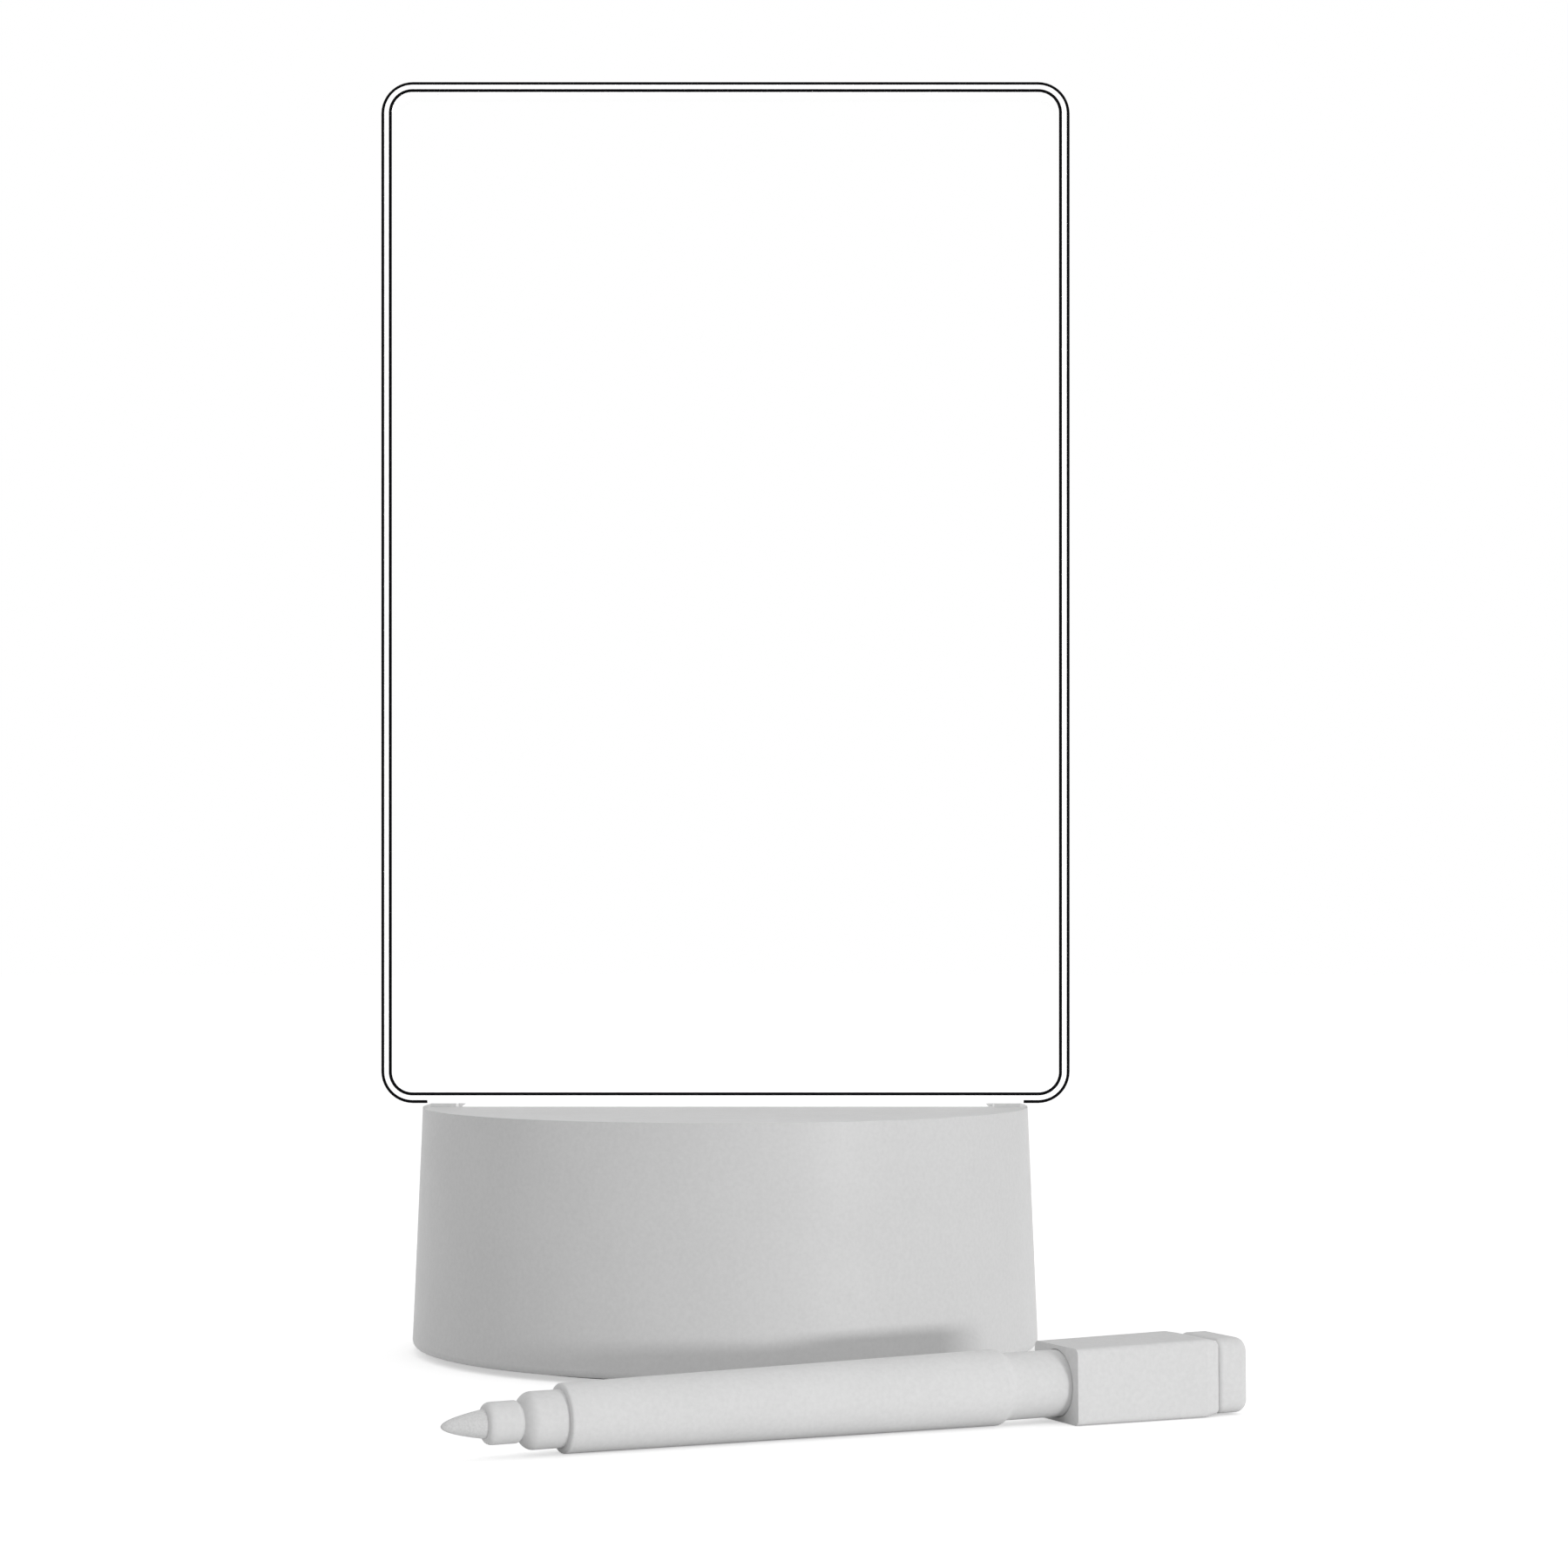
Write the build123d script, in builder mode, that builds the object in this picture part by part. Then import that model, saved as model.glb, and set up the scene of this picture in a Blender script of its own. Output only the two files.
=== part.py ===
from build123d import *
import os
from math import atan2, cos, radians, sin, sqrt

os.makedirs("parts", exist_ok=True)

# An acrylic writing panel stands in a round light base, with a marker lying in front.
# Millimetres, +Z up, front towards -Y. The origin is the centre of the base on the table.

# Message panel
panel_width = 100.0
panel_height = 148.35
panel_thickness = 4.0
panel_corner_radius = 4.6
bevel_width = 1.2
bevel_depth = 0.6
tab_width = 77.2
tab_depth = 14.0
tab_corner_radius = 1.5
slot_end_gap = 0.4
slot_side_gap = 0.25

# Base shell
base_height = 35.25
base_top_radius = 43.9
base_bottom_radius = 45.4
rim_lift = 0.8
shell_wall = 2.0
top_wall = 2.0
top_edge_radius = 1.0
collar_wall = 1.6
collar_depth = 12.0
rest_height = 0.45
rest_width = 6.0
rest_edge_gap = 0.2

# Bottom cover and rubber ring
cover_lift = 1.0
cover_thickness = 2.0
cover_gap = 0.25
foot_groove_depth = 0.6
foot_inner_radius = 31.5
foot_width = 8.0
foot_gap = 0.1

# Shell bosses and the screws that hold the cover
boss_circle_radius = 35.0
boss_stop_gap = 0.4
boss_radius = 3.0
pad_radius = 4.0
pad_height = 1.8
cover_shank_radius = 1.1
cover_shank_length = 8.0
cover_head_radius = 2.0
cover_head_height = 1.4
head_gap = 0.3
thread_gap = 0.05
hole_gap = 0.2
hole_spare = 0.6
screw_head_edge = 0.4
recess_length = 2.2
recess_width = 0.6
recess_depth = 0.6

# Light row
led_count = 6
led_pitch = 12.0
led_size = 5.0
led_height = 1.6
led_window_radius = 1.9
led_window_depth = 0.3
light_gap = 0.9
led_board_length = 74.0
led_board_width = 9.0
board_thickness = 1.2
tray_floor = 1.6
tray_wall = 1.2
tray_board_gap = 0.3
tray_tab_gap = 0.5
tray_boss_spacing_x = 52.0
tray_boss_spacing_y = 20.0
tray_boss_radius = 2.5
ear_length = 8.0
small_shank_radius = 0.9
small_head_radius = 1.9
small_head_height = 1.2
tray_shank_length = 6.0
board_shank_length = 5.2

# Rechargeable cell
cell_radius = 7.0
cell_body_length = 49.0
cell_button_radius = 2.75
cell_button_height = 1.0
cell_edge_radius = 0.5
cell_side_gap = 0.5
cell_gap = 0.1
saddle_spacing = 30.0
saddle_thickness = 3.0
saddle_width = 17.0
saddle_drop = 1.0
end_stop_gap = 0.3
end_stop_thickness = 1.5
end_stop_width = 8.0
end_stop_height = 9.0

# Control board and what is on it
control_length = 32.0
control_width = 14.0
control_y = 31.5
control_lift = 5.0
post_spacing = 26.0
post_front_inset = 3.5
post_radius = 2.25
connector_length = 7.0
connector_width = 4.5
connector_height = 4.0
chip_size = 4.0
chip_height = 1.0
chip_x = -6.0
usb_x = 7.5
usb_width = 8.94
usb_height = 3.2
usb_depth = 9.0
usb_sheet = 0.3
usb_back = 1.0
usb_recess = 0.35
tongue_width = 6.69
tongue_thickness = 0.7
tongue_inset = 0.8
port_gap = 0.35

# Power switch
switch_x = -7.5
switch_length = 8.6
switch_width = 4.0
switch_height = 3.6
switch_travel = 2.0
stem_width = 2.0
stem_height = 1.4
stem_reach = 1.5
stem_gap = 0.25
knob_width = 4.0
knob_height = 3.0
knob_gap = 0.3
knob_proud = 1.2
knob_start_gap = 0.8
knob_edge_radius = 0.3
grip_groove_width = 0.5
grip_groove_depth = 0.4
grip_groove_pitch = 1.2

# Leads
lead_radius = 0.5
battery_lead_spread = 12.0
connector_pin_spread = 2.6
battery_lead_bend = 12.0
led_lead_x = 8.0
led_lead_spread = 2.0
led_lead_bend = 4.5
led_lead_front_inset = 5.5
notch_margin = 0.7

# Marker: stations are measured along its axis from the tip of the nib
marker_tip_x = -31.2
marker_tip_y = -110.2
marker_yaw = 24.4
nib_radius = 1.75
nib_length = 5.3
nib_core_radius = 1.2
ferrule_radius = 2.52
ferrule_length = 4.1
ferrule_shoulder = 1.0
ferrule_rear_shoulder = 0.5
groove_radius = 2.2
groove_width = 0.2
collar_radius = 3.42
collar_length = 5.4
collar_shoulder = 1.6
collar_shoulder_lean = 0.6
plug_length = 5.0
barrel_front_radius = 4.15
barrel_rear_radius = 4.7
barrel_length = 57.0
barrel_front_edge = 0.35
barrel_bore_radius = 3.3
barrel_step_length = 1.6
tail_radius = 4.15
tail_length = 16.8
tail_plug_length = 3.0
tail_plug_head = 1.0
marker_fit_gap = 0.05
reservoir_gap = 0.25
reservoir_end_gap = 0.5
cap_overlap = 9.3
cap_width = 11.2
cap_front_height = 9.5
cap_rear_height = 9.85
cap_length = 20.5
cap_corner_radius = 0.8
cap_taper_length = 2.0
cap_taper = 0.35
cap_rear_edge = 0.6
cap_end_wall = 2.2
cap_bore_gap = 0.08
pad_end_width = 10.6
pad_end_height = 9.5
pad_end_length = 4.3
pad_end_corner_radius = 1.8
pad_end_front_edge = 0.6
pad_end_rear_edge = 1.2

# Levels that follow from the sizes above
slot_length = tab_width + 2 * slot_end_gap
slot_width = panel_thickness + 2 * slot_side_gap
top_underside = base_height - top_wall
collar_bottom = base_height - collar_depth
tab_bottom = base_height - tab_depth
panel_bottom = base_height + rest_height
rest_end = base_top_radius - top_edge_radius - rest_edge_gap
cover_top = cover_lift + cover_thickness
pad_top = cover_top + pad_height
foot_thickness = cover_lift + foot_groove_depth
foot_outer_radius = foot_inner_radius + foot_width
led_board_top = tab_bottom - light_gap - led_height
led_board_bottom = led_board_top - board_thickness
tray_bottom = led_board_bottom - tray_floor
control_bottom = cover_top + control_lift
control_top = control_bottom + board_thickness
control_front = control_y - control_width / 2
control_rear = control_y + control_width / 2
ear_width = tray_boss_spacing_y + 2 * small_head_radius + tray_wall
cell_y = -(ear_width / 2 + cell_side_gap + cell_radius)


def outer_radius(height):
    """Radius of the tapered shell's outside at a height above the table."""
    share = (height - rim_lift) / (base_height - rim_lift)
    return base_bottom_radius + share * (base_top_radius - base_bottom_radius)


def wall_y(height, x):
    """Distance of the shell's outside behind the centre, at a height and a side offset."""
    return sqrt(outer_radius(height) ** 2 - x**2)


def rear_plane(x, y, height):
    """Plane that faces backwards, with its own x along +X."""
    return Plane(origin=(x, y, height), x_dir=(1, 0, 0), z_dir=(0, 1, 0))


def screw(shank_radius, shank_length, head_radius, head_height):
    """Pan head screw with a cross recess. Its seat is at the origin and its shank points up."""
    with BuildPart() as piece:
        Cylinder(shank_radius, shank_length, align=(Align.CENTER, Align.CENTER, Align.MIN))
        Cylinder(head_radius, head_height, align=(Align.CENTER, Align.CENTER, Align.MAX))
        fillet(piece.faces().sort_by(Axis.Z)[0].edges(), screw_head_edge)
        with BuildSketch(Plane.XY.offset(-head_height)):
            Rectangle(recess_length, recess_width)
            Rectangle(recess_width, recess_length)
        extrude(amount=recess_depth, mode=Mode.SUBTRACT)
    return piece.part


def keep(piece, label):
    """Name a finished piece and write it."""
    piece.part.label = label
    export_step(piece.part, f"parts/{label}.step")


stop_span = cell_body_length + 2 * cell_button_height + 2 * end_stop_gap
boss_x = stop_span / 2 + end_stop_thickness + boss_stop_gap + boss_radius
boss_y = sqrt(boss_circle_radius**2 - boss_x**2)
boss_places = [(side_x * boss_x, side_y * boss_y) for side_x in (-1, 1) for side_y in (-1, 1)]
tray_boss_places = [
    (side_x * tray_boss_spacing_x / 2, side_y * tray_boss_spacing_y / 2)
    for side_x in (-1, 1)
    for side_y in (-1, 1)
]
screw_seat = foot_thickness + thread_gap + cover_head_height
boss_hole_depth = screw_seat + cover_shank_length + hole_spare - pad_top
tray_hole_depth = tray_bottom + tray_shank_length + hole_spare - led_board_bottom
usb_z = control_top + usb_height / 2
usb_front = wall_y(usb_z, usb_x + usb_width / 2) - usb_recess
switch_z = control_top + switch_height / 2
switch_rear = control_rear
knob_end = wall_y(switch_z, switch_x) + knob_proud
knob_rest_x = switch_x - switch_travel / 2

# Clear panel, standing with its shoulders on the two rests beside the slot
with BuildPart() as message_panel:
    with BuildSketch(Plane.XZ) as panel_outline:
        with Locations((0, panel_bottom + panel_height / 2)):
            RectangleRounded(panel_width, panel_height, panel_corner_radius)
    extrude(amount=panel_thickness / 2, both=True)
    for face in (message_panel.faces().sort_by(Axis.Y)[0], message_panel.faces().sort_by(Axis.Y)[-1]):
        chamfer(face.edges(), bevel_width, bevel_depth, reference=face)
    with BuildSketch(Plane.XZ) as tab_outline:
        with Locations((0, (tab_bottom + panel_bottom) / 2)):
            Rectangle(tab_width, panel_bottom - tab_bottom)
        fillet(tab_outline.vertices().group_by(Axis.Z)[0], tab_corner_radius)
    extrude(amount=panel_thickness / 2, both=True)
keep(message_panel, "message_panel")

# Tapered shell with the slot, its rests and collar, the bosses and the rear openings
with BuildPart() as base_shell:
    with BuildSketch(Plane.XZ) as shell_profile:
        with BuildLine():
            Polyline(
                (0, base_height),
                (base_top_radius, base_height),
                (base_bottom_radius, rim_lift),
                (base_bottom_radius - shell_wall, rim_lift),
                (outer_radius(top_underside) - shell_wall, top_underside),
                (0, top_underside),
                close=True,
            )
        make_face()
        top_corner = shell_profile.vertices().group_by(Axis.Z)[-1].sort_by(Axis.X)[-1]
        fillet(top_corner, top_edge_radius)
    revolve(axis=Axis.Z)
    with BuildSketch(Plane.XY.offset(base_height)):
        with GridLocations(rest_end + slot_length / 2, 0, 2, 1):
            Rectangle(rest_end - slot_length / 2, rest_width)
    extrude(amount=rest_height)
    with BuildSketch(Plane.XY.offset(collar_bottom)):
        Rectangle(slot_length + 2 * collar_wall, slot_width + 2 * collar_wall)
    extrude(amount=top_underside - collar_bottom)
    with BuildSketch(Plane.XY.offset(pad_top)):
        with Locations(*boss_places):
            Circle(boss_radius)
    extrude(amount=top_underside - pad_top)
    with BuildSketch(Plane.XY.offset(led_board_bottom)):
        with Locations(*tray_boss_places):
            Circle(tray_boss_radius)
    extrude(amount=top_underside - led_board_bottom)
    with BuildSketch(Plane.XY.offset(collar_bottom)):
        Rectangle(slot_length, slot_width)
    extrude(amount=collar_depth, mode=Mode.SUBTRACT)
    with BuildSketch(Plane.XY.offset(pad_top)):
        with Locations(*boss_places):
            Circle(cover_shank_radius + thread_gap)
    extrude(amount=boss_hole_depth, mode=Mode.SUBTRACT)
    with BuildSketch(Plane.XY.offset(led_board_bottom)):
        with Locations(*tray_boss_places):
            Circle(small_shank_radius + thread_gap)
    extrude(amount=tray_hole_depth, mode=Mode.SUBTRACT)
    with BuildSketch(rear_plane(usb_x, control_rear, usb_z)):
        SlotOverall(usb_width + 2 * port_gap, usb_height + 2 * port_gap)
    extrude(amount=base_bottom_radius - control_rear, mode=Mode.SUBTRACT)
    with BuildSketch(rear_plane(switch_x, control_rear, switch_z)):
        RectangleRounded(
            knob_width + switch_travel + 2 * knob_gap,
            knob_height + 2 * knob_gap,
            knob_gap + knob_edge_radius,
        )
    extrude(amount=base_bottom_radius - control_rear, mode=Mode.SUBTRACT)
keep(base_shell, "base_shell")

# Bottom cover with screw pads, cell saddles, end stops, board posts and the foot groove
with BuildPart() as bottom_cover:
    with BuildSketch(Plane.XY.offset(cover_lift)):
        Circle(base_bottom_radius - shell_wall - cover_gap)
    extrude(amount=cover_thickness)
    with BuildSketch(Plane.XY.offset(cover_top)):
        with Locations(*boss_places):
            Circle(pad_radius)
    extrude(amount=pad_height)
    with BuildSketch(Plane.XY.offset(cover_top)):
        with Locations((0, cell_y)):
            with GridLocations(saddle_spacing, 0, 2, 1):
                Rectangle(saddle_thickness, saddle_width)
    extrude(amount=control_top + connector_height / 2 - saddle_drop - cover_top)
    with BuildSketch(Plane.YZ.offset(-cell_body_length / 2)):
        with Locations((cell_y, control_top + connector_height / 2)):
            Circle(cell_radius + cell_gap)
    extrude(amount=cell_body_length, mode=Mode.SUBTRACT)
    with BuildSketch(Plane.XY.offset(cover_top)):
        with Locations((0, cell_y)):
            with GridLocations(stop_span + end_stop_thickness, 0, 2, 1):
                Rectangle(end_stop_thickness, end_stop_width)
    extrude(amount=end_stop_height)
    with BuildSketch(Plane.XY.offset(cover_top)):
        with Locations((0, control_front + post_front_inset)):
            with GridLocations(post_spacing, 0, 2, 1):
                Circle(post_radius)
    extrude(amount=control_lift)
    with BuildSketch(Plane.XY.offset(control_bottom)):
        with Locations((0, control_front + post_front_inset)):
            with GridLocations(post_spacing, 0, 2, 1):
                Circle(small_shank_radius + thread_gap)
    extrude(amount=-(board_shank_length - board_thickness + hole_spare), mode=Mode.SUBTRACT)
    with BuildSketch(Plane.XY.offset(cover_lift)):
        Circle(foot_outer_radius + foot_gap)
        Circle(foot_inner_radius - foot_gap, mode=Mode.SUBTRACT)
    extrude(amount=foot_groove_depth, mode=Mode.SUBTRACT)
    with BuildSketch(Plane.XY.offset(cover_lift)):
        with Locations(*boss_places):
            Circle(cover_shank_radius + hole_gap)
    extrude(amount=pad_top - cover_lift, mode=Mode.SUBTRACT)
    with BuildSketch(Plane.XY.offset(cover_lift)):
        with Locations(*boss_places):
            Circle(cover_head_radius + head_gap)
    extrude(amount=screw_seat - cover_lift, mode=Mode.SUBTRACT)
keep(bottom_cover, "bottom_cover")

# Rubber ring that the base stands on, covering the screws
with BuildPart() as foot_ring:
    with BuildSketch(Plane.XY):
        Circle(foot_outer_radius)
        Circle(foot_inner_radius, mode=Mode.SUBTRACT)
    extrude(amount=foot_thickness)
keep(foot_ring, "foot_ring")

# Four screws through the cover into the shell's bosses
cover_screw = screw(cover_shank_radius, cover_shank_length, cover_head_radius, cover_head_height)
with BuildPart() as cover_screws:
    with Locations(*[(x, y, screw_seat) for x, y in boss_places]):
        add(cover_screw)
keep(cover_screws, "cover_screws")

# Channel that holds the light row under the slot, screwed to the shell's small bosses
tray_length = led_board_length + 2 * tray_board_gap
tray_width = led_board_width + 2 * tray_board_gap
with BuildPart() as led_tray:
    with BuildSketch(Plane.XY.offset(tray_bottom)):
        Rectangle(tray_length + 2 * tray_wall, tray_width + 2 * tray_wall)
    extrude(amount=tab_bottom - tray_tab_gap - tray_bottom)
    with BuildSketch(Plane.XY.offset(led_board_bottom)):
        Rectangle(tray_length, tray_width)
    extrude(amount=tab_bottom - led_board_bottom, mode=Mode.SUBTRACT)
    with BuildSketch(Plane.XY.offset(tray_bottom)):
        with GridLocations(tray_boss_spacing_x, 0, 2, 1):
            RectangleRounded(ear_length, ear_width, tray_wall)
    extrude(amount=tray_floor)
    with BuildSketch(Plane.XY.offset(tray_bottom)):
        with Locations(*tray_boss_places):
            Circle(small_shank_radius + hole_gap)
    extrude(amount=tray_floor, mode=Mode.SUBTRACT)
    with BuildSketch(Plane.XY.offset(led_board_bottom)):
        with Locations((led_lead_x, led_board_width / 2 + tray_board_gap + tray_wall / 2)):
            Rectangle(led_lead_spread + 2 * lead_radius + 2 * notch_margin, tray_wall)
    extrude(amount=board_thickness + notch_margin, mode=Mode.SUBTRACT)
keep(led_tray, "led_tray")

tray_screw = screw(small_shank_radius, tray_shank_length, small_head_radius, small_head_height)
with BuildPart() as tray_screws:
    with Locations(*[(x, y, tray_bottom) for x, y in tray_boss_places]):
        add(tray_screw)
keep(tray_screws, "tray_screws")

with BuildPart() as led_board:
    with BuildSketch(Plane.XY.offset(led_board_bottom)):
        Rectangle(led_board_length, led_board_width)
    extrude(amount=board_thickness)
keep(led_board, "led_board")

# One light for each place in the row, with a round window in its top
for index in range(led_count):
    led_x = (index - (led_count - 1) / 2) * led_pitch
    with BuildPart() as led:
        with BuildSketch(Plane.XY.offset(led_board_top)):
            with Locations((led_x, 0)):
                Rectangle(led_size, led_size)
        extrude(amount=led_height)
        with BuildSketch(Plane.XY.offset(led_board_top + led_height)):
            with Locations((led_x, 0)):
                Circle(led_window_radius)
        extrude(amount=-led_window_depth, mode=Mode.SUBTRACT)
    keep(led, f"led_{index + 1}")

# Cylindrical cell lying on its saddles, with the button at its +X end
cell_z = control_top + connector_height / 2
with BuildPart() as battery_cell:
    with BuildSketch(Plane.YZ.offset(-cell_body_length / 2)):
        with Locations((cell_y, cell_z)):
            Circle(cell_radius)
    extrude(amount=cell_body_length)
    fillet(battery_cell.edges().filter_by(GeomType.CIRCLE), cell_edge_radius)
keep(battery_cell, "battery_cell")

with BuildPart() as cell_button:
    with BuildSketch(Plane.YZ.offset(cell_body_length / 2)):
        with Locations((cell_y, cell_z)):
            Circle(cell_button_radius)
    extrude(amount=cell_button_height)
keep(cell_button, "cell_button")

# Control board on its posts
with BuildPart() as control_board:
    with BuildSketch(Plane.XY.offset(control_bottom)):
        with Locations((0, control_y)):
            Rectangle(control_length, control_width)
        with Locations((0, control_front + post_front_inset)):
            with GridLocations(post_spacing, 0, 2, 1):
                Circle(small_shank_radius + hole_gap, mode=Mode.SUBTRACT)
    extrude(amount=board_thickness)
keep(control_board, "control_board")

board_screw = screw(small_shank_radius, board_shank_length, small_head_radius, small_head_height)
board_screw = board_screw.rotate(Axis.X, 180)
with BuildPart() as board_screws:
    with Locations(
        (-post_spacing / 2, control_front + post_front_inset, control_top),
        (post_spacing / 2, control_front + post_front_inset, control_top),
    ):
        add(board_screw)
keep(board_screws, "board_screws")

with BuildPart() as battery_connector:
    with BuildSketch(Plane.XY.offset(control_top)):
        with Locations((0, control_front + connector_width / 2)):
            Rectangle(connector_length, connector_width)
    extrude(amount=connector_height)
keep(battery_connector, "battery_connector")

with BuildPart() as control_chip:
    with BuildSketch(Plane.XY.offset(control_top)):
        with Locations((chip_x, control_y)):
            Rectangle(chip_size, chip_size)
    extrude(amount=chip_height)
keep(control_chip, "control_chip")

# Charging socket: a sheet metal shell with a tongue inside, just inside the wall
with BuildPart() as usb_socket_shell:
    with BuildSketch(rear_plane(usb_x, usb_front - usb_depth, usb_z)):
        SlotOverall(usb_width, usb_height)
    extrude(amount=usb_depth)
    with BuildSketch(rear_plane(usb_x, usb_front - usb_depth + usb_back, usb_z)):
        SlotOverall(usb_width - 2 * usb_sheet, usb_height - 2 * usb_sheet)
    extrude(amount=usb_depth - usb_back, mode=Mode.SUBTRACT)
keep(usb_socket_shell, "usb_socket_shell")

with BuildPart() as usb_socket_tongue:
    with BuildSketch(rear_plane(usb_x, usb_front - usb_depth + usb_back, usb_z)):
        Rectangle(tongue_width, tongue_thickness)
    extrude(amount=usb_depth - usb_back - tongue_inset)
keep(usb_socket_tongue, "usb_socket_tongue")

# Power switch: a fixed body and a knob that slides sideways in the shell's rear window
with BuildPart() as switch_body:
    with BuildSketch(Plane.XY.offset(control_top)):
        with Locations((switch_x, switch_rear - switch_width / 2)):
            Rectangle(switch_length, switch_width)
    extrude(amount=switch_height)
    with BuildSketch(rear_plane(switch_x, switch_rear, switch_z)):
        Rectangle(stem_width + switch_travel + 2 * stem_gap, stem_height + 2 * stem_gap)
    extrude(amount=-(stem_reach + stem_gap), mode=Mode.SUBTRACT)
keep(switch_body, "switch_body")

knob_start = switch_rear + knob_start_gap
with BuildPart() as switch_knob:
    with BuildSketch(rear_plane(knob_rest_x, switch_rear - stem_reach, switch_z)):
        Rectangle(stem_width, stem_height)
    extrude(amount=stem_reach + knob_start_gap)
    with BuildSketch(rear_plane(knob_rest_x, knob_start, switch_z)):
        RectangleRounded(knob_width, knob_height, knob_edge_radius)
    extrude(amount=knob_end - knob_start)
    with BuildSketch(rear_plane(knob_rest_x, knob_end, switch_z)):
        with GridLocations(grip_groove_pitch, 0, 3, 1):
            Rectangle(grip_groove_width, knob_height)
    extrude(amount=-grip_groove_depth, mode=Mode.SUBTRACT)
keep(switch_knob, "switch_knob")


def lead(points, bend):
    """Thin insulated lead along straight runs joined by arcs."""
    with BuildPart() as piece:
        with BuildLine() as route:
            FilletPolyline(*points, radius=bend)
        with BuildSketch(Plane(origin=route.line @ 0, z_dir=route.line % 0)):
            Circle(lead_radius)
        sweep()
    return piece


# Two leads from the cell's side to the connector
cell_side = cell_y + cell_radius
lead_run = (control_front - cell_side) / 3
for side, label in ((-1, "battery_lead_negative"), (1, "battery_lead_positive")):
    lead_start_x = side * battery_lead_spread / 2
    lead_end_x = side * connector_pin_spread / 2
    battery_lead = lead(
        [
            (lead_start_x, cell_side, cell_z),
            (lead_start_x, cell_side + lead_run, cell_z),
            (lead_end_x, cell_side + 2 * lead_run, cell_z),
            (lead_end_x, control_front, cell_z),
        ],
        battery_lead_bend,
    )
    keep(battery_lead, label)

# Two leads from the light board's rear edge down to the control board
led_lead_z = (led_board_bottom + led_board_top) / 2
led_lead_y = control_front + led_lead_front_inset
for side, label in ((-1, "led_lead_supply"), (1, "led_lead_return")):
    lead_x = led_lead_x + side * led_lead_spread / 2
    led_lead = lead(
        [
            (lead_x, led_board_width / 2, led_lead_z),
            (lead_x, led_lead_y, led_lead_z),
            (lead_x, led_lead_y, control_top),
        ],
        led_lead_bend,
    )
    keep(led_lead, label)

# Marker stations
ferrule_start = nib_length
collar_start = ferrule_start + ferrule_length
barrel_start = collar_start + collar_length
barrel_end = barrel_start + barrel_length
tail_start = barrel_end + barrel_step_length
tail_end = tail_start + tail_length
plug_end = barrel_start + plug_length
cap_start = tail_end - cap_overlap
cap_end = cap_start + cap_length

# The marker lies on its barrel, so its axis climbs as the barrel widens
marker_tilt = atan2(barrel_rear_radius - barrel_front_radius, barrel_length)
marker_tip_z = barrel_front_radius * cos(marker_tilt) - barrel_start * sin(marker_tilt)
marker_tip = Vector(marker_tip_x, marker_tip_y, marker_tip_z)
yaw = radians(marker_yaw)
marker_direction = Vector(cos(yaw) * cos(marker_tilt), sin(yaw) * cos(marker_tilt), sin(marker_tilt))
marker_side = Vector(sin(yaw), -cos(yaw), 0)
marker_axis = Axis(marker_tip, marker_direction)
marker_profile = Plane(origin=marker_tip, x_dir=marker_direction, z_dir=marker_side)


def marker_section(station):
    """Plane across the marker, that many millimetres from the tip of its nib."""
    return Plane(
        origin=marker_tip + marker_direction * station, x_dir=marker_side, z_dir=marker_direction
    )


# Felt nib, a parabolic bullet with a core that reaches into the reservoir
with BuildPart() as marker_nib:
    with BuildSketch(marker_profile):
        with BuildLine():
            nib_curve = Bezier((0, 0), (0, nib_radius / 2), (nib_length, nib_radius))
            Polyline(
                nib_curve @ 1,
                (nib_length, nib_core_radius),
                (plug_end + marker_fit_gap, nib_core_radius),
                (plug_end + marker_fit_gap, 0),
                (0, 0),
            )
        make_face()
    revolve(axis=marker_axis)
keep(marker_nib, "marker_nib")

# Front section: ferrule, groove, collar with a rounded shoulder, and a plug inside the barrel
with BuildPart() as marker_front:
    with BuildSketch(marker_profile):
        with BuildLine():
            ferrule_front = Bezier(
                (ferrule_start, nib_radius + marker_fit_gap),
                (ferrule_start, ferrule_radius),
                (ferrule_start + ferrule_shoulder, ferrule_radius),
            )
            ferrule_rear = Bezier(
                (collar_start - ferrule_rear_shoulder, ferrule_radius),
                (collar_start, ferrule_radius),
                (collar_start, groove_radius),
            )
            collar_front = Bezier(
                (collar_start + groove_width, groove_radius),
                (collar_start + groove_width + collar_shoulder_lean, collar_radius),
                (collar_start + groove_width + collar_shoulder, collar_radius),
            )
            Line(ferrule_front @ 1, ferrule_rear @ 0)
            Line(ferrule_rear @ 1, collar_front @ 0)
            Polyline(
                collar_front @ 1,
                (barrel_start, collar_radius),
                (barrel_start, barrel_bore_radius - marker_fit_gap),
                (plug_end, barrel_bore_radius - marker_fit_gap),
                (plug_end, nib_core_radius + marker_fit_gap),
                (ferrule_start, nib_core_radius + marker_fit_gap),
                ferrule_front @ 0,
            )
        make_face()
    revolve(axis=marker_axis)
keep(marker_front, "marker_front")

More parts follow.
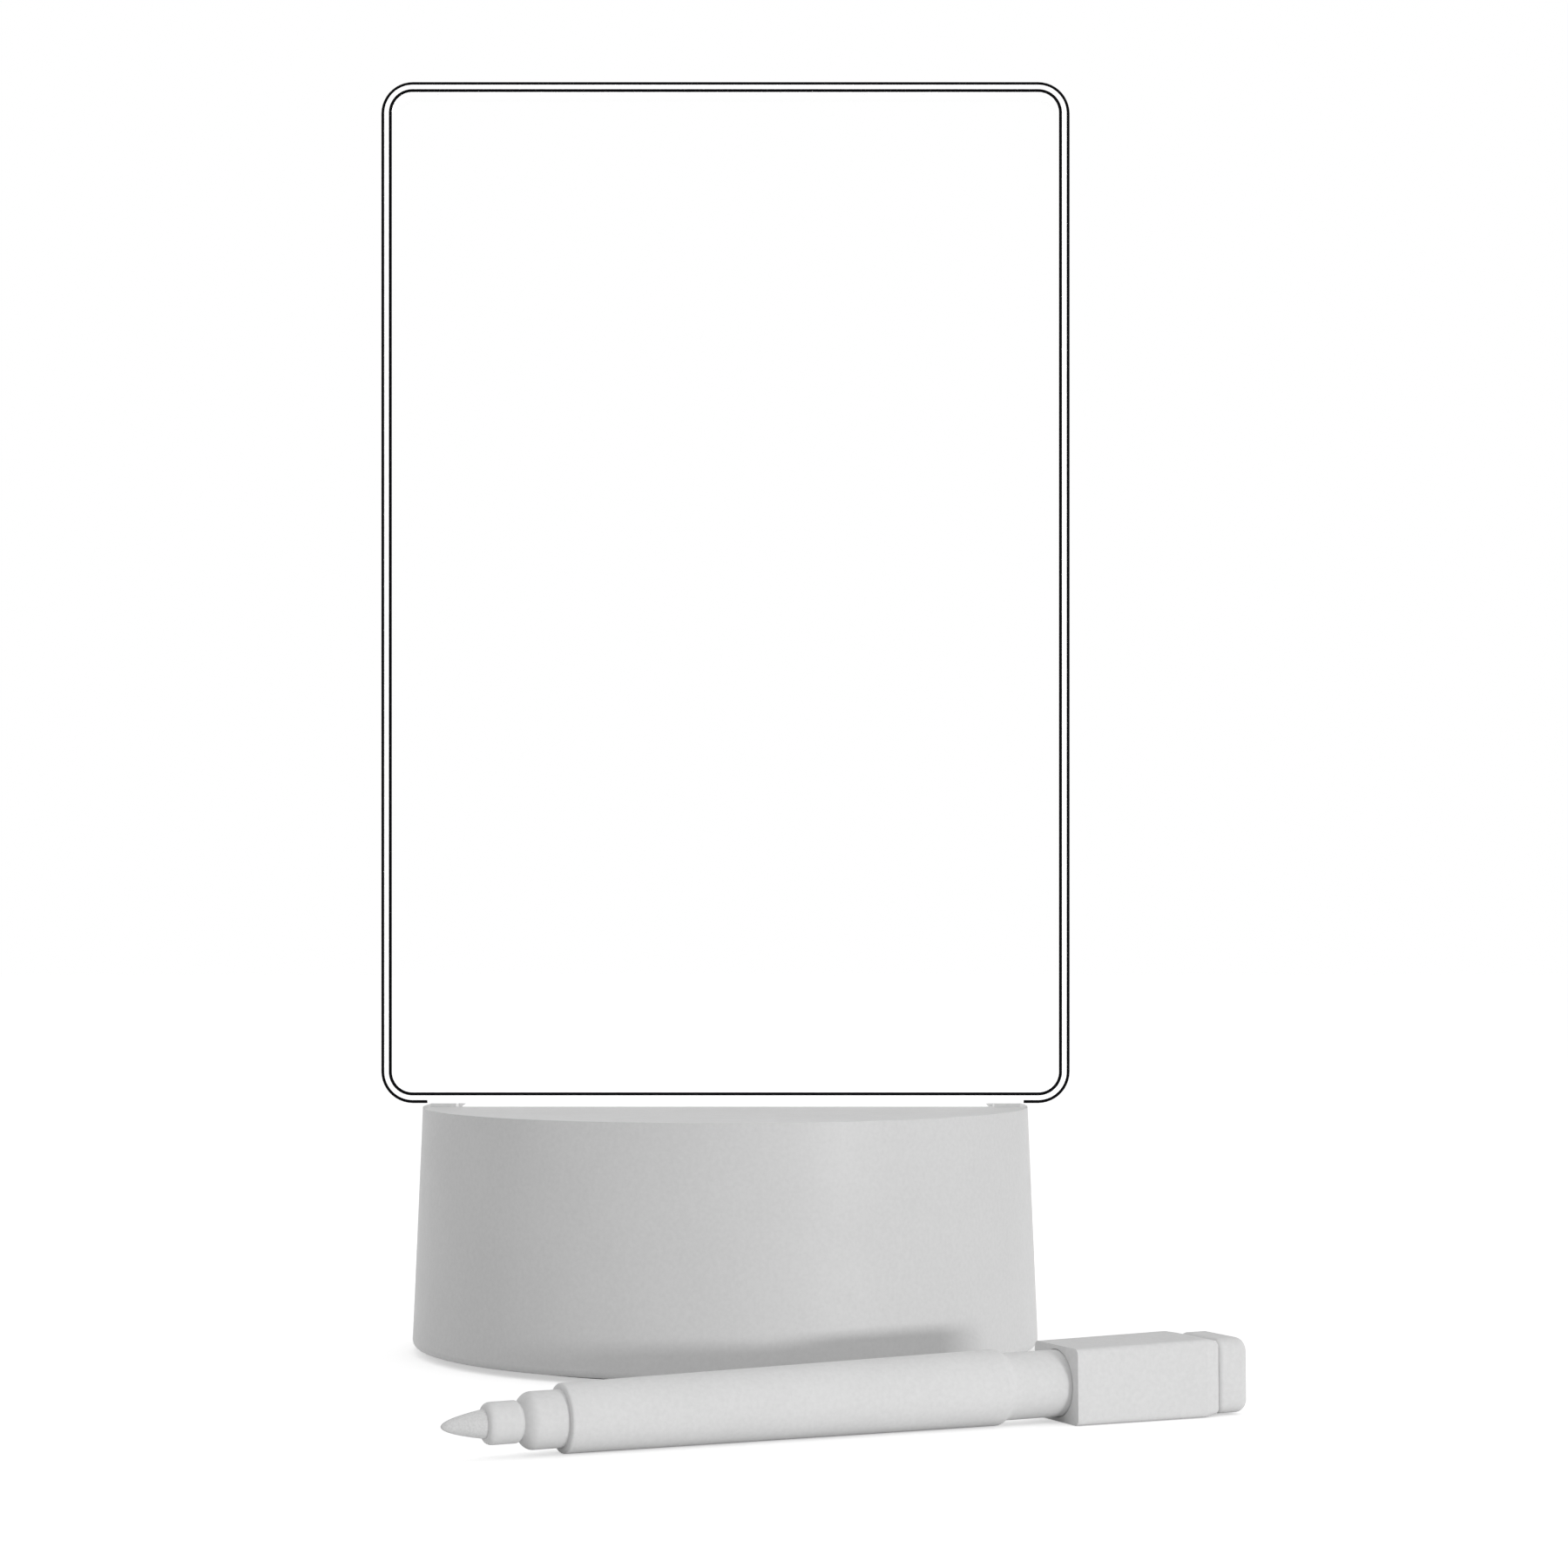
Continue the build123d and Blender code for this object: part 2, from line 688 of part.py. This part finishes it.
# Tapered barrel that steps down to the tail which the cap is posted on
with BuildPart() as marker_barrel:
    with BuildSketch(marker_profile):
        with BuildLine():
            barrel_rim = Bezier(
                (barrel_start, barrel_front_radius - barrel_front_edge),
                (barrel_start, barrel_front_radius),
                (barrel_start + barrel_front_edge, barrel_front_radius),
            )
            barrel_step = Bezier(
                (barrel_end, barrel_rear_radius),
                (barrel_end + barrel_step_length / 2, barrel_rear_radius),
                (barrel_end + barrel_step_length / 2, tail_radius),
                (tail_start, tail_radius),
            )
            Line(barrel_rim @ 1, barrel_step @ 0)
            Polyline(
                barrel_step @ 1,
                (tail_end, tail_radius),
                (tail_end, barrel_bore_radius),
                (barrel_start, barrel_bore_radius),
                barrel_rim @ 0,
            )
        make_face()
    revolve(axis=marker_axis)
keep(marker_barrel, "marker_barrel")

# Plug that closes the tail
with BuildPart() as marker_tail_plug:
    with BuildSketch(marker_profile):
        with BuildLine():
            Polyline(
                (tail_end - tail_plug_length, 0),
                (tail_end - tail_plug_length, barrel_bore_radius - marker_fit_gap),
                (tail_end, barrel_bore_radius - marker_fit_gap),
                (tail_end, tail_radius - marker_fit_gap),
                (tail_end + tail_plug_head, tail_radius - 2 * marker_fit_gap),
                (tail_end + tail_plug_head, 0),
                close=True,
            )
        make_face()
    revolve(axis=marker_axis)
keep(marker_tail_plug, "marker_tail_plug")

# Ink reservoir between the front section and the tail plug
reservoir_start = plug_end + marker_fit_gap
reservoir_end = tail_end - tail_plug_length - reservoir_end_gap
with BuildPart() as ink_reservoir:
    with BuildSketch(marker_section(reservoir_start)):
        Circle(barrel_bore_radius - reservoir_gap)
    extrude(amount=reservoir_end - reservoir_start)
keep(ink_reservoir, "ink_reservoir")

# Rectangular cap posted on the tail, narrowing at its rear
with BuildPart() as marker_cap:
    with BuildSketch(marker_section(cap_start)):
        RectangleRounded(cap_width, cap_front_height, cap_corner_radius)
    with BuildSketch(marker_section(cap_end - cap_taper_length)):
        RectangleRounded(cap_width, cap_rear_height, cap_corner_radius)
    with BuildSketch(marker_section(cap_end)):
        RectangleRounded(
            cap_width - 2 * cap_taper, cap_rear_height - 2 * cap_taper, cap_corner_radius
        )
    loft(ruled=True)
    fillet(marker_cap.faces().sort_by(marker_axis)[-1].edges(), cap_rear_edge)
    with BuildSketch(marker_section(cap_start)):
        Circle(tail_radius + cap_bore_gap)
    extrude(amount=cap_length - cap_end_wall, mode=Mode.SUBTRACT)
keep(marker_cap, "marker_cap")

# Rounded pad on the cap's end
with BuildPart() as marker_cap_end:
    with BuildSketch(marker_section(cap_end)):
        RectangleRounded(pad_end_width, pad_end_height, pad_end_corner_radius)
    extrude(amount=pad_end_length)
    fillet(marker_cap_end.faces().sort_by(marker_axis)[-1].edges(), pad_end_rear_edge)
    fillet(marker_cap_end.faces().sort_by(marker_axis)[0].edges(), pad_end_front_edge)
keep(marker_cap_end, "marker_cap_end")
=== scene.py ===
import math

import bpy
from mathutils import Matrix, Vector


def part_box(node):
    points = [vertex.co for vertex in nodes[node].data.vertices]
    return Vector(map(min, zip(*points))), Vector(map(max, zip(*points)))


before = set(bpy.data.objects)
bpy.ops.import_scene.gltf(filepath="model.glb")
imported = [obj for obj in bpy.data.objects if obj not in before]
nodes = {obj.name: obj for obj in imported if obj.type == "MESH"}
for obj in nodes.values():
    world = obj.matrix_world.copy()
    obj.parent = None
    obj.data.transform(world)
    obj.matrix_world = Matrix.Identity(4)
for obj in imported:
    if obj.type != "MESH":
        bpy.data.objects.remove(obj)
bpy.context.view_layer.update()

scene = bpy.context.scene

# The photograph's camera: its picture plane is parallel to the panel, a little to the right
PHOTO_SIDE = 1800
PANEL_PIXELS = 788
CAMERA_DISTANCE_PIXELS = 4203
CAMERA_RIGHT_PIXELS = 67
CAMERA_HEIGHT_PIXELS = 503
HORIZON_PIXEL_Y = 1044
SENSOR_MM = 36.0


def place_camera():
    """Camera in front of the panel, level, with the lens shifted so that uprights stay upright."""
    low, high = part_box("message_panel")
    pixel = (high[0] - low[0]) / PANEL_PIXELS
    data = bpy.data.cameras.new("photo_camera")
    data.sensor_width = SENSOR_MM
    data.lens = SENSOR_MM * CAMERA_DISTANCE_PIXELS / PHOTO_SIDE
    data.shift_y = (HORIZON_PIXEL_Y - PHOTO_SIDE / 2) / PHOTO_SIDE
    data.clip_start = 0.01
    camera = bpy.data.objects.new("photo_camera", data)
    camera.location = (
        CAMERA_RIGHT_PIXELS * pixel,
        -CAMERA_DISTANCE_PIXELS * pixel,
        CAMERA_HEIGHT_PIXELS * pixel,
    )
    camera.rotation_euler = (math.radians(90), 0, 0)
    scene.collection.objects.link(camera)
    scene.camera = camera


class Nodes:
    """Short way to build a material's node tree."""

    def __init__(self, name):
        self.material = bpy.data.materials.new(name)
        self.material.use_nodes = True
        self.tree = self.material.node_tree
        self.shader = self.tree.nodes["Principled BSDF"]
        self.output = self.tree.nodes["Material Output"]

    def add(self, kind, **values):
        """Add a node. Values name its properties, or its inputs written with spaces as underscores."""
        node = self.tree.nodes.new(kind)
        for key, value in values.items():
            if hasattr(node, key):
                setattr(node, key, value)
            else:
                node.inputs[key.replace("_", " ")].default_value = value
        return node

    def link(self, source, target):
        self.tree.links.new(source, target)

    def math(self, operation, first, second=None):
        """Math node whose inputs are sockets or numbers."""
        node = self.tree.nodes.new("ShaderNodeMath")
        node.operation = operation
        for socket, value in zip(node.inputs, (first, second)):
            if value is None:
                continue
            if isinstance(value, (int, float)):
                socket.default_value = value
            else:
                self.link(value, socket)
        return node.outputs[0]

    def place(self):
        """Object coordinates, in metres in the part's own frame."""
        return self.add("ShaderNodeTexCoord").outputs["Object"]

    def noise(self, scale, detail=2.0):
        node = self.add("ShaderNodeTexNoise")
        node.inputs["Scale"].default_value = scale
        node.inputs["Detail"].default_value = detail
        self.link(self.place(), node.inputs["Vector"])
        return node.outputs["Fac"]

    def ramp(self, factor, stops):
        node = self.tree.nodes.new("ShaderNodeValToRGB")
        elements = node.color_ramp.elements
        while len(elements) < len(stops):
            elements.new(0.5)
        for element, (position, colour) in zip(elements, stops):
            element.position = position
            element.color = (*colour, 1)
        self.link(factor, node.inputs["Fac"])
        return node.outputs["Color"]

    def bump(self, height, distance, strength=1.0):
        node = self.add("ShaderNodeBump")
        node.inputs["Distance"].default_value = distance
        node.inputs["Strength"].default_value = strength
        self.link(height, node.inputs["Height"])
        self.link(node.outputs["Normal"], self.shader.inputs["Normal"])


def linear(*levels):
    """Linear colour from 0 to 255 display levels. One level gives a grey."""
    levels = levels * 3 if len(levels) == 1 else levels
    return tuple(
        level / 255 / 12.92 if level / 255 <= 0.04045 else ((level / 255 + 0.055) / 1.055) ** 2.4
        for level in levels
    )


def shade(colour, share):
    """The colour times a share, held under 1."""
    return tuple(min(1.0, value * share) for value in colour)


# Noise scales are in cells per metre, and bump depths in metres
DRIFT_SCALE = 60.0
DRIFT_SHARE = 0.4
MOTTLE_SCALE = 1800.0
MOTTLE_SHARE = 0.6
WEAR_SCALE = 400.0
SPARK_SCALE = 9000.0
SPARK_DEPTH = 0.000004
COARSE_DEPTH = 0.00001
FIBRE_DEPTH = 0.00002


def plastic(name, colour, roughness, grain=SPARK_SCALE, depth=SPARK_DEPTH, gloss_level=0.35):
    """Moulded plastic: faint tone drift, fine spark texture, and a little wear in the gloss."""
    n = Nodes(name)
    tone = n.math(
        "ADD",
        n.math("MULTIPLY", n.noise(DRIFT_SCALE), DRIFT_SHARE),
        n.math("MULTIPLY", n.noise(MOTTLE_SCALE), MOTTLE_SHARE),
    )
    drift = n.ramp(tone, [(0.35, shade(colour, 0.965)), (0.65, shade(colour, 1.03))])
    n.link(drift, n.shader.inputs["Base Color"])
    gloss = n.ramp(
        n.noise(WEAR_SCALE), [(0.3, (roughness * 0.92,) * 3), (0.7, (roughness * 1.08,) * 3)]
    )
    n.link(gloss, n.shader.inputs["Roughness"])
    n.shader.inputs["Specular IOR Level"].default_value = gloss_level
    n.bump(n.noise(grain, 3.0), depth)
    return n.material


TARNISH_SCALE = 900.0
BRUSH_SCALE = 14000.0
BRUSH_DEPTH = 0.000003


def metal(name, colour, roughness):
    """Plated metal with fine brushing."""
    n = Nodes(name)
    n.shader.inputs["Metallic"].default_value = 1.0
    n.link(
        n.ramp(n.noise(TARNISH_SCALE), [(0.3, shade(colour, 0.9)), (0.7, shade(colour, 1.08))]),
        n.shader.inputs["Base Color"],
    )
    n.shader.inputs["Roughness"].default_value = roughness
    n.bump(n.noise(BRUSH_SCALE), BRUSH_DEPTH)
    return n.material


def soft(name, colour, roughness, scale, depth):
    """Rubber, felt or fibre: matt, with a coarser grain."""
    n = Nodes(name)
    n.link(
        n.ramp(n.noise(scale, 4.0), [(0.3, shade(colour, 0.9)), (0.7, shade(colour, 1.06))]),
        n.shader.inputs["Base Color"],
    )
    n.shader.inputs["Roughness"].default_value = roughness
    n.shader.inputs["Sheen Weight"].default_value = 0.15
    n.bump(n.noise(scale * 1.5, 4.0), depth)
    return n.material


# The panel's outline reads as two fine dark lines, painted shade for its polished bevel edges, with a
# bevel of frost and painted glow between them
PANEL_CORNER = 0.0046
BEVEL_WIDTH = 0.0012
BEVEL_DEPTH = 0.0006
LINE_WIDTH = 0.00045
INNER_LINE = 0.001365
LINE_WRAP = 0.00015
LINE_END = 0.0433
CORNER_RISE = 0.002
# Share of frost with a painted glow in the bevel band
FROST_AND_GLOW_SHARE = 0.8
# Height and fade of the painted glow along the panel's foot, above the base
GLOW_FOOT_LEVEL = 0.0013
GLOW_FOOT_FADE = 0.003
FROST_WHITE = 0.93
FROST_ROUGHNESS = 0.6
# Strength of the painted glow of LED light on the bevel and foot
PAINTED_GLOW_STRENGTH = 0.42
CLEAR_ROUGHNESS = 0.03
CLEAR_IOR = 1.2
WAVE_SCALE = 25.0
WAVE_STRENGTH = 0.2
# Near-black of the dark lines painted where the polished bevel edges look dark
PAINTED_EDGE_SHADE = (0.006, 0.006, 0.007)


def panel_edge(n, x, z, middle, half_width, half_height):
    """Distance beyond the panel's rounded outline, negative inside it."""
    across = n.math("SUBTRACT", n.math("ABSOLUTE", x), half_width - PANEL_CORNER)
    height = n.math("ABSOLUTE", n.math("SUBTRACT", z, middle))
    along = n.math("SUBTRACT", height, half_height - PANEL_CORNER)
    squares = n.math(
        "ADD",
        n.math("POWER", n.math("MAXIMUM", across, 0.0), 2.0),
        n.math("POWER", n.math("MAXIMUM", along, 0.0), 2.0),
    )
    inside = n.math("MINIMUM", n.math("MAXIMUM", across, along), 0.0)
    return n.math("SUBTRACT", n.math("ADD", n.math("SQRT", squares), inside), PANEL_CORNER)


def clear_panel():
    """Clear acrylic with a bevel and foot of frost carrying a painted glow of the LED light, and the
    two fine lines of its outline painted as shade.
    """
    low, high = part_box("message_panel")
    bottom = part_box("base_shell")[1][2]
    half_thickness = (high[1] - low[1]) / 2
    n = Nodes("clear_acrylic")
    split = n.add("ShaderNodeSeparateXYZ")
    n.link(n.place(), split.inputs[0])
    x, y, z = split.outputs
    edge = panel_edge(
        n, x, z, (high[2] + bottom) / 2, (high[0] - low[0]) / 2, (high[2] - bottom) / 2
    )
    clear_of_base = n.math(
        "MAXIMUM",
        n.math("GREATER_THAN", z, bottom + CORNER_RISE),
        n.math("GREATER_THAN", n.math("ABSOLUTE", x), LINE_END),
    )
    # Dark lines painted along the outline, standing in for the dark look of the polished bevel edges
    outer = n.math(
        "MULTIPLY",
        n.math("GREATER_THAN", edge, -LINE_WIDTH),
        n.math("LESS_THAN", y, BEVEL_DEPTH + LINE_WRAP - half_thickness),
    )
    inner = n.math(
        "LESS_THAN",
        n.math("ABSOLUTE", n.math("ADD", edge, INNER_LINE)),
        LINE_WIDTH / 2,
    )
    line = n.math(
        "MAXIMUM",
        n.math("MULTIPLY", outer, clear_of_base),
        n.math("MULTIPLY", inner, n.math("LESS_THAN", y, 0.0)),
    )
    line = n.math("MULTIPLY", line, n.math("GREATER_THAN", z, bottom - LINE_WRAP))
    # The bevel band gets frost with a painted glow
    bevel = n.math("MULTIPLY", n.math("GREATER_THAN", edge, -BEVEL_WIDTH), FROST_AND_GLOW_SHARE)
    # Painted glow along the foot, strongest just above the base and fading upward
    foot = n.add("ShaderNodeMapRange", interpolation_type="SMOOTHSTEP")
    for socket, value in (
        ("From Min", bottom + GLOW_FOOT_LEVEL),
        ("From Max", bottom + GLOW_FOOT_LEVEL + GLOW_FOOT_FADE),
        ("To Min", 1.0),
        ("To Max", 0.0),
    ):
        foot.inputs[socket].default_value = value
    n.link(z, foot.inputs["Value"])
    n.shader.inputs["Base Color"].default_value = (1, 1, 1, 1)
    n.shader.inputs["Roughness"].default_value = CLEAR_ROUGHNESS
    n.shader.inputs["IOR"].default_value = CLEAR_IOR
    n.shader.inputs["Transmission Weight"].default_value = 1.0
    n.bump(n.noise(WAVE_SCALE), COARSE_DEPTH, WAVE_STRENGTH)
    # Frost with a painted glow of the LED light
    frost_and_glow = n.add("ShaderNodeBsdfPrincipled")
    frost_and_glow.inputs["Base Color"].default_value = (FROST_WHITE, FROST_WHITE, FROST_WHITE, 1)
    frost_and_glow.inputs["Roughness"].default_value = FROST_ROUGHNESS
    frost_and_glow.inputs["Emission Color"].default_value = (1, 1, 1, 1)
    frost_and_glow.inputs["Emission Strength"].default_value = PAINTED_GLOW_STRENGTH
    # Painted shade for the outline's dark lines
    edge_shade = n.add("ShaderNodeBsdfDiffuse")
    edge_shade.inputs["Color"].default_value = (*PAINTED_EDGE_SHADE, 1)
    body = n.add("ShaderNodeMixShader")
    n.link(n.math("MAXIMUM", bevel, foot.outputs[0]), body.inputs[0])
    n.link(n.shader.outputs[0], body.inputs[1])
    n.link(frost_and_glow.outputs[0], body.inputs[2])
    mix = n.add("ShaderNodeMixShader")
    n.link(line, mix.inputs[0])
    n.link(body.outputs[0], mix.inputs[1])
    n.link(edge_shade.outputs[0], mix.inputs[2])
    n.link(mix.outputs[0], n.output.inputs["Surface"])
    return n.material


TRACK_SCALE = 220.0
TRACK_DISTORTION = 2.0
MASK_ROUGHNESS = 0.35
LIGHT_GLOW = 1.5
LIGHT_COLOUR = (1, 0.98, 0.92, 1)


def board(name, colour):
    """Solder mask over fine copper lines."""
    n = Nodes(name)
    wave = n.add("ShaderNodeTexWave")
    wave.inputs["Scale"].default_value = TRACK_SCALE
    wave.inputs["Distortion"].default_value = TRACK_DISTORTION
    n.link(n.place(), wave.inputs["Vector"])
    n.link(
        n.ramp(wave.outputs["Fac"], [(0.45, colour), (0.6, shade(colour, 1.25))]),
        n.shader.inputs["Base Color"],
    )
    n.shader.inputs["Roughness"].default_value = MASK_ROUGHNESS
    return n.material


def light_body():
    """White LED body that glows a little."""
    material = plastic("led_body", linear(250, 247, 235), 0.3)
    inputs = material.node_tree.nodes["Principled BSDF"].inputs
    inputs["Emission Color"].default_value = LIGHT_COLOUR
    inputs["Emission Strength"].default_value = LIGHT_GLOW
    return material


BASE_GREY = linear(214)
MARKER_GREY = linear(223)
CAP_GREY = linear(222)
STEEL = linear(190, 190, 192)

# Specular level of the outer plastics
SATIN = 0.16
MATT = 0.03


def dress():
    """Give every carried-over piece its finish."""
    steel = metal("screw_steel", STEEL, 0.3)
    plated = metal("plated_metal", linear(215), 0.22)
    marker = plastic("marker_plastic", MARKER_GREY, 0.55, gloss_level=MATT)
    red = plastic("lead_red", linear(190, 30, 28), 0.4)
    black = plastic("lead_black", linear(30), 0.4)
    moulded_black = plastic("moulded_black", linear(38), 0.45)
    light = light_body()
    finishes = {
        "base_shell": plastic("base_plastic", BASE_GREY, 0.42, gloss_level=SATIN),
        "bottom_cover": plastic("cover_plastic", linear(205), 0.55, 5000.0, COARSE_DEPTH),
        "foot_ring": soft("foot_rubber", linear(70), 0.85, 2500.0, FIBRE_DEPTH),
        "cover_screws": steel,
        "led_tray": plastic("tray_plastic", linear(238), 0.4),
        "tray_screws": steel,
        "led_board": board("white_board", linear(238, 238, 232)),
        "battery_cell": plastic("cell_wrap", linear(70, 130, 190), 0.25, 3000.0, COARSE_DEPTH),
        "cell_button": plated,
        "control_board": board("green_board", linear(28, 96, 58)),
        "board_screws": steel,
        "battery_connector": plastic("connector_plastic", linear(235, 230, 215), 0.4),
        "control_chip": moulded_black,
        "usb_socket_shell": plated,
        "usb_socket_tongue": moulded_black,
        "switch_body": moulded_black,
        "switch_knob": plastic("knob_plastic", linear(190), 0.4),
        "battery_lead_negative": black,
        "battery_lead_positive": red,
        "led_lead_supply": red,
        "led_lead_return": black,
        "message_panel": clear_panel(),
        "marker_nib": soft("nib_felt", linear(218), 0.9, 4000.0, FIBRE_DEPTH),
        "marker_front": marker,
        "marker_barrel": marker,
        "marker_tail_plug": marker,
        "ink_reservoir": soft("reservoir_fibre", linear(225), 0.9, 3000.0, FIBRE_DEPTH),
        "marker_cap": plastic("cap_plastic", CAP_GREY, 0.6, gloss_level=MATT),
        "marker_cap_end": plastic("cap_end_plastic", CAP_GREY, 0.6, gloss_level=MATT),
    }
    for name, node in nodes.items():
        is_light = name.startswith("led_") and name[4:].isdigit()
        node.data.materials.clear()
        node.data.materials.append(light if is_light else finishes[name])


def seen_share(tree):
    """1 for rays from the camera, from a reflection or through clear plastic, otherwise 0."""
    path = tree.nodes.new("ShaderNodeLightPath")
    total = path.outputs["Is Camera Ray"]
    for name in ("Is Glossy Ray", "Is Transmission Ray"):
        larger = tree.nodes.new("ShaderNodeMath")
        larger.operation = "MAXIMUM"
        tree.links.new(total, larger.inputs[0])
        tree.links.new(path.outputs[name], larger.inputs[1])
        total = larger.outputs[0]
    return total


AMBIENT = 0.6
FLOOR_SIDE = 6.0
FLOOR_WHITE = 0.86
FLOOR_LIFT = 0.5


def backdrop():
    """White surroundings, and a pale floor that keeps the object's shadow."""
    world = bpy.data.worlds.new("white_room")
    scene.world = world
    world.use_nodes = True
    tree = world.node_tree
    background = tree.nodes["Background"]
    background.inputs["Color"].default_value = (1, 1, 1, 1)
    strength = tree.nodes.new("ShaderNodeMapRange")
    strength.inputs["To Min"].default_value = AMBIENT
    strength.inputs["To Max"].default_value = 1.0
    tree.links.new(seen_share(tree), strength.inputs["Value"])
    tree.links.new(strength.outputs[0], background.inputs["Strength"])

    bpy.ops.mesh.primitive_plane_add(size=FLOOR_SIDE)
    floor = bpy.context.object
    floor.name = "floor"
    n = Nodes("floor_paper")
    n.shader.inputs["Base Color"].default_value = (FLOOR_WHITE, FLOOR_WHITE, FLOOR_WHITE, 1)
    n.shader.inputs["Roughness"].default_value = 0.9
    n.shader.inputs["Specular IOR Level"].default_value = 0.0
    n.shader.inputs["Emission Color"].default_value = (1, 1, 1, 1)
    n.link(
        n.math("MULTIPLY", seen_share(n.tree), FLOOR_LIFT),
        n.shader.inputs["Emission Strength"],
    )
    floor.data.materials.append(n.material)


def lamp(name, place, target, width, height, power):
    """Rectangular soft lamp that points at a target."""
    data = bpy.data.lights.new(name, "AREA")
    data.shape = "RECTANGLE"
    data.size = width
    data.size_y = height
    data.energy = power
    lamp_object = bpy.data.objects.new(name, data)
    lamp_object.location = place
    direction = Vector(target) - Vector(place)
    lamp_object.rotation_euler = direction.to_track_quat("-Z", "Y").to_euler()
    scene.collection.objects.link(lamp_object)


KEY_SIDE_ANGLE = math.radians(43)
KEY_DISTANCE = 1.0
KEY_RISE = 0.075
KEY_TARGET = (0, -0.04, 0.01)
KEY_WIDTH = 0.2
KEY_HEIGHT = 0.04
KEY_POWER = 3.2
TOP_PLACE = (0, 0.1, 0.9)
TOP_TARGET = (0, -0.02, 0.0)
TOP_SIDE = 0.4
TOP_POWER = 0.8


def studio():
    """Key from the right front, low down, and a weak lamp overhead for the tops."""
    place = (
        KEY_DISTANCE * math.sin(KEY_SIDE_ANGLE),
        -KEY_DISTANCE * math.cos(KEY_SIDE_ANGLE),
        KEY_RISE,
    )
    lamp("key", place, KEY_TARGET, KEY_WIDTH, KEY_HEIGHT, KEY_POWER)
    lamp("top", TOP_PLACE, TOP_TARGET, TOP_SIDE, TOP_SIDE, TOP_POWER)


place_camera()
dress()
backdrop()
studio()
scene.view_settings.view_transform = "Standard"
